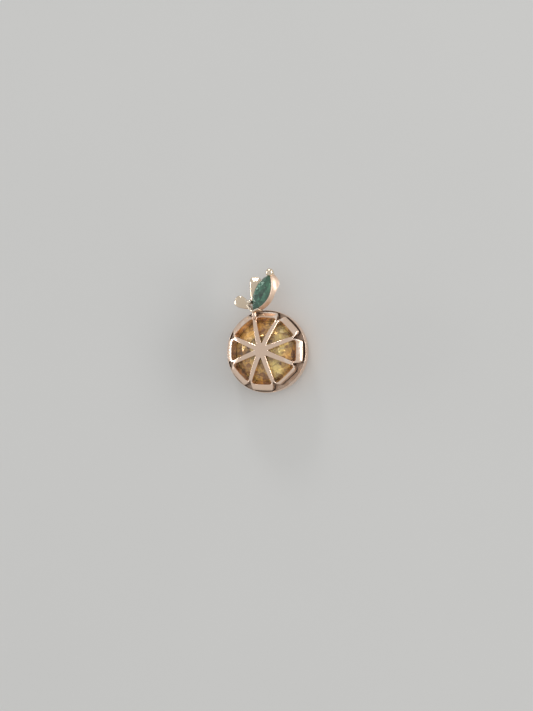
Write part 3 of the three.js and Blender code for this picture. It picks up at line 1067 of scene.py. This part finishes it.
def settingMesh(s):
    rings = [marquiseRing(s["seatScale"], s["top"] - s["seatDrop"], s["sides"])]
    rings.append(marquiseRing(1.0, s["top"] + s["rimRise"], s["sides"], 0.0, s["rimOut"]))
    rounding = s["rounding"]
    for i in range(4, -1, -1):
        inset, drop = roundedEdge(rounding, i / 4)
        rings.append(settingRing(s, drop, inset * s["topRounding"]))
    for step in range(1, s["steps"] + 1):
        rings.append(settingRing(s, rounding + (s["depth"] - 2 * rounding) * step / s["steps"]))
    for i in range(1, 5):
        inset, drop = roundedEdge(rounding, i / 4)
        rings.append(settingRing(s, s["depth"] - drop, inset))
    points, faces = stacked(rings)
    return mmMesh("leafSetting", moved(points, leafPlace), faces)


addPlain("leafSetting", settingMesh(settingSizes), satinGold, 45, "rose_gold", "leaf_setting")
print("leaf stone and setting made")


# The beads: a ball raised on the end of a wire that runs down the side of the setting

tipBeadSizes = {"radius": 0.41, "post": 0.15, "reach": 0.22, "height": 0.12, "down": 0.66}
sideBeadSizes = {"radius": 0.22, "post": 0.14, "along": 0.31, "out": 0.26, "height": 0.17, "down": 0.76}
beadShape = {
    "neckAngle": -58,  # where the ball turns into its post, degrees from its middle's level
    "neckBend": 0.1,  # shares of the ball's radius
    "neckLength": 0.35,
    "ballSteps": 18,
    "neckSteps": 5,
    "sides": 40,
    "footSlope": [(0.0, 0.04), (0.015, 0.012), (0.05, 0.0)],  # inset and rise of the post's foot
}


def beadProfile(s):
    shape = beadShape
    ball = arcPoints((0, 0), s["radius"], 90, shape["neckAngle"], shape["ballSteps"])
    neck, post = ball[-1], s["post"]
    bend = Vector((post, neck[1] - s["radius"] * shape["neckBend"]))
    drop = Vector((post, neck[1] - s["radius"] * shape["neckLength"]))
    curve = quadratic(Vector(neck), bend, drop, shape["neckSteps"])
    pairs = [*ball, *curve[1:], drop]
    pairs += [(post - inset, -s["down"] + rise) for inset, rise in shape["footSlope"]]
    pairs.append((0, -s["down"]))
    return [(max(0.0, out), 0, height) for out, height in pairs]


def addBead(name, s, x, y, *nodes):
    start = mmMesh(name, beadProfile(s))
    values = {"Sides": beadShape["sides"], "Merge": mergeReach, "Finish": paleGold}
    bead = madeBy(turnedShape, name, start, values)
    place = leafPlace @ Matrix.Translation((x, y, s["height"]))
    place.translation *= mm
    bead.data.transform(place)
    finished(cleaned(bead, 50), "pale_gold", *nodes)


leafHalf = leafSizes["length"] / 2
addBead("tipBead", tipBeadSizes, 0, leafHalf + tipBeadSizes["reach"], "tip_prong")
beadShare = sideBeadSizes["along"] - 1  # from the leaf's middle, as a share of half its length
beadOut = marquiseHalf(beadShare, leafSizes["width"]) + sideBeadSizes["out"]
addBead("sideBead", sideBeadSizes, -beadOut, beadShare * leafHalf, "side_prong")
print("beads made")


# The pointed prong: two arms that meet under the stone's lower tip

prongSizes = {
    "width": 0.19,
    "rise": 0.24,
    "down": 0.75,
    "rightArm": 0.72,
    "leftArm": 0.95,
    "splay": 22,
    "rounding": 0.075,
    "gap": 0.08,  # from the stone's tip
    "bend": 0.22,  # share of each arm that the corner takes
    "spacing": 0.12,
    "waist": -0.3,
    "capPoints": 7,
}


def barOutline(path, halfWidth, capPoints):
    # both sides of a bent bar with a round cap at each end
    left, right = [], []
    for i, point in enumerate(path):
        before = (point - path[i - 1] if i > 0 else path[1] - path[0]).normalized()
        after = (path[i + 1] - point).normalized() if i < len(path) - 1 else before
        middle = (before + after).normalized()
        side = Vector((-middle.y, middle.x)) / max(0.5, middle.dot(before))
        left.append(point + side * halfWidth)
        right.append(point - side * halfWidth)
    caps = []
    for tip, inner in ((path[-1], path[-2]), (path[0], path[1])):
        along = (tip - inner).normalized()
        start = Vector((-along.y, along.x))
        turns = [Matrix.Rotation(-math.pi * k / (capPoints + 1), 2) for k in range(1, capPoints + 1)]
        caps.append([turn @ start * halfWidth + tip for turn in turns])
    return [*left, *caps[0], *reversed(right), *caps[1]]


def pointedProngMesh(s):
    edgeAngle = math.atan2(2 * leafSizes["width"], leafSizes["length"])
    foot = Vector((0, -leafHalf - s["gap"] - s["width"] / 2))
    rightEnd = foot + Vector((math.sin(edgeAngle), math.cos(edgeAngle))) * s["rightArm"]
    leftAngle = edgeAngle + math.radians(s["splay"])
    leftEnd = foot + Vector((-math.sin(leftAngle), math.cos(leftAngle))) * s["leftArm"]
    leftBend, rightBend = foot.lerp(leftEnd, s["bend"]), foot.lerp(rightEnd, s["bend"])
    path = [*straight(leftEnd, leftBend, s["spacing"]), *quadratic(leftBend, foot, rightBend, 8)]
    path += [*straight(rightBend, rightEnd, s["spacing"]), rightEnd]
    rounding = s["rounding"]
    levels = [(rounding, -s["down"]), (0.0, -s["down"] + rounding), (0.0, s["waist"])]
    for i in range(6):
        inset, drop = roundedEdge(rounding, i / 5)
        levels.append((inset, s["rise"] - drop))
    rings = []
    for inset, height in levels:
        outline = barOutline(path, s["width"] / 2 - inset, s["capPoints"])
        rings.append([Vector((p.x, p.y, height)) for p in outline])
    points, faces = stacked(rings, False, False)
    half, caps = len(path), s["capPoints"]
    for base in (0, (len(rings) - 1) * len(rings[0])):
        # the flat ends: a strip between the bar's two sides and a fan for each cap
        left = [base + i for i in range(half)]
        right = [base + 2 * half + caps - 1 - i for i in range(half)]
        for i in range(half - 1):
            faces.append((left[i], left[i + 1], right[i + 1], right[i]))
        faces.append((left[-1], *[base + half + k for k in range(caps)], right[-1]))
        faces.append((right[0], *[base + 2 * half + caps + k for k in range(caps)], left[0]))
    return mmMesh("pointedProng", moved(points, leafPlace), faces)


addPlain("pointedProng", pointedProngMesh(prongSizes), paleGold, 45, "pale_gold", "pointed_prong")
print("pointed prong made")


# The plain leaves: pillowed blades with a crease along the middle and a flat cut at the tip

sideLeafSizes = {
    "tip": leafSizes["foot"] + Vector((-2.2, 1.24, -0.5)),
    "angle": 154,
    "length": 1.72,
    "width": 1.22,
    "thickness": 0.62,
    "blunt": 2.4,
    "crease": 0.04,
    "tipCut": 0.0,
    "tipLength": 0.5,
}
upperLeafSizes = {
    "tip": leafPlace @ Vector((-1.35, 1.165, 0.384)),
    "angle": 86,
    "length": 2.45,
    "width": 1.16,
    "thickness": 0.9,
    "blunt": 3.2,
    "crease": 0.0,
    "tipCut": 0.2,
    "tipLength": 0.66,
}
bladeShape = {
    "stations": 26,
    "sides": 32,
    "footLoss": 0.5,  # share of the width lost towards the foot
    "footCurve": 1.6,
    "tipReach": 0.8,  # share of half the width over which the tip grows thick
    "sideSquareness": 0.75,
    "topSquareness": 0.8,
    "creaseWidth": 0.13,
    "creaseStart": 0.3,
}


def plainLeafMesh(name, s):
    # rings from the tip back to the foot
    blade = bladeShape
    half, halfDeep = s["width"] / 2, s["thickness"] / 2
    tipReach = half * blade["tipReach"]
    rings = []
    for k in range(blade["stations"] + 1):
        along = k / blade["stations"]
        back = s["length"] * (1 - math.cos(along * math.pi / 2)) if along < 1 else s["length"]
        if back < half:
            share = (half - back) / half
            wide = half * max(0.0, 1 - share ** s["blunt"]) ** (1 / s["blunt"])
        else:
            far = (back - half) / (s["length"] - half)
            wide = half * (1 - blade["footLoss"] * far ** blade["footCurve"])
        deep = halfDeep * min(1.0, (back / tipReach) ** 0.5)
        cut = s["tipCut"] * max(0.0, 1 - back / s["tipLength"]) / halfDeep
        ring = []
        for i in range(blade["sides"]):
            angle = 2 * math.pi * i / blade["sides"]
            side, rise = math.cos(angle), math.sin(angle)
            across = math.copysign(abs(side) ** blade["sideSquareness"], side) * wide
            up = math.copysign(abs(rise) ** blade["topSquareness"], rise) * deep
            if rise > 0:
                fold = math.exp(-((across / blade["creaseWidth"]) ** 2))
                up -= s["crease"] * fold * min(1.0, back / blade["creaseStart"])
                up *= 1 - cut * rise
            ring.append(Vector((across, -max(back, 0.001), up - halfDeep)))
        rings.append(ring)
    points, faces = stacked(rings)
    place = Matrix.Translation(s["tip"]) @ Matrix.Rotation(math.radians(s["angle"] - 90), 4, "Z")
    return mmMesh(name, moved(points, place), faces)


sideLeaf = plainLeafMesh("sideLeaf", sideLeafSizes)
upperLeaf = plainLeafMesh("upperLeaf", upperLeafSizes)
addPlain("sideLeaf", sideLeaf, paleGold, 50, "pale_gold", "side_leaf")
addPlain("upperLeaf", upperLeaf, paleGold, 50, "pale_gold", "upper_leaf")
print("plain leaves made")


# The stem: a short wire from the rim up to the foot of the leaf

stemSizes = {
    "radius": 0.23,
    "spoke": 2,  # the spoke that it starts from
    "in": 0.42,  # from the rim in to its foot
    "end": (0, -0.2, -0.25),  # from the green stone's lower tip, in the leaf's own directions
    "arch": 0.34,
    "steps": 20,
    "sides": 28,
    "flatness": 0.85,
    "footGirth": 1.1,
    "taper": 0.25,
}


def stemMesh(s):
    foot = onSpoke(s["spoke"], frameSizes["reach"] - s["in"])
    start = Vector((foot.x, foot.y, crestHeight)) + frameSizes["middle"]
    end = leafPlace @ (Vector((0, -leafHalf, 0)) + Vector(s["end"]))
    top = start.lerp(end, 0.5) + Vector((0, 0, s["arch"]))
    path = [*quadratic(start, top, end, s["steps"]), end]
    mesh = mmMesh("stemWire", path, (), [(i, i + 1) for i in range(len(path) - 1)])
    girth = mesh.attributes.new("girth", "FLOAT", "POINT")
    for i in range(len(path)):
        share = s["footGirth"] - s["taper"] * i / len(path)
        girth.data[i].value = s["radius"] * mm * share
    return mesh


stem = madeBy(
    drawnWire,
    "stemWire",
    stemMesh(stemSizes),
    {"Sides": stemSizes["sides"], "Flatness": stemSizes["flatness"], "Finish": roseGold},
)
finished(cleaned(stem, 50), "rose_gold", "stem")
print("stem made")


# The studio: a pale floor, a pale room and soft windows, all plain

studio = {
    "floor": (0.69, 0.69, 0.683),
    "floorHalf": 600,
    "floorShade": 0.97,
    "floorRoughness": 0.55,
    "room": (0.62, 0.62, 0.613),
    "roomStrength": 1.0,
}


def floorFinish():
    material, book, shader = newFinish("paleGlaze")
    place = placeInMm(book)
    cloud = noise(book, place, 0.05, 3.0)
    tone = tuple(c * studio["floorShade"] for c in studio["floor"])
    book.feed(shader.inputs["Base Color"], mixed(book, cloud, studio["floor"], tone))
    shader.inputs["Roughness"].default_value = studio["floorRoughness"]
    return material


half = studio["floorHalf"]
floorCorners = [(-half, -half, 0), (half, -half, 0), (half, half, 0), (-half, half, 0)]
floor = newObject("floor", mmMesh("floor", floorCorners, [(0, 1, 2, 3)]))
floor.data.materials.append(floorFinish())

world = bpy.data.worlds.new("room")
bpy.context.scene.world = world
world.use_nodes = True
background = world.node_tree.nodes["Background"]
background.inputs["Color"].default_value = (*studio["room"], 1.0)
background.inputs["Strength"].default_value = studio["roomStrength"]


def aimed(obj, place, target):
    obj.location = place
    obj.rotation_euler = (Vector(target) - Vector(place)).to_track_quat("-Z", "Y").to_euler()


def addWindow(name, place, size, power, colour=(1.0, 1.0, 1.0)):
    light = bpy.data.lights.new(name, "AREA")
    light.shape = "RECTANGLE"
    light.size, light.size_y = size
    light.energy = power
    light.color = colour
    obj = bpy.data.objects.new(name, light)
    bpy.context.scene.collection.objects.link(obj)
    aimed(obj, place, (0, 0, 0.002))
    obj.visible_camera = False


addWindow("windowRight", (0.51, 0.07, 0.15), (0.52, 0.1), 1.5, (1.0, 0.99, 0.97))
addWindow("windowLeft", (-0.5, 0.04, 0.075), (0.3, 0.06), 0.5)
addWindow("windowBack", (-0.1, 0.5, 0.15), (0.12, 0.06), 0.5)
print("studio made")

# The camera: nearly from above, a little to the right, with the face upright in the picture

view = {
    "tilt": 17,  # degrees from straight above
    "side": -11,
    "distance": 0.25,  # metres, as the height of the picture is
    "height": 0.0729,
    "aim": (0, 0, 1.3),
    "right": -0.174,
    "up": -0.380,
}


def addCamera(v):
    tilt, side = math.radians(v["tilt"]), math.radians(v["side"])
    aside = Vector((math.cos(side), math.sin(side), 0))
    back = aside * math.sin(tilt) + Vector((0, 0, math.cos(tilt)))
    up = (Vector((0, 1, 0)) - back * back.y).normalized()
    right = up.cross(back)
    aim = (Vector(v["aim"]) + right * v["right"] + up * v["up"]) * mm
    camera = bpy.data.objects.new("camera", bpy.data.cameras.new("camera"))
    bpy.context.scene.collection.objects.link(camera)
    turning = Matrix((right, up, back)).transposed().to_4x4()
    camera.matrix_world = Matrix.Translation(aim + back * v["distance"]) @ turning
    camera.data.sensor_fit = "VERTICAL"
    camera.data.angle = 2 * math.atan(v["height"] / 2 / v["distance"])
    camera.data.clip_start = 0.001
    camera.data.clip_end = 5.0
    bpy.context.scene.camera = camera


addCamera(view)
bpy.context.scene.view_settings.view_transform = "Standard"
print("camera made")
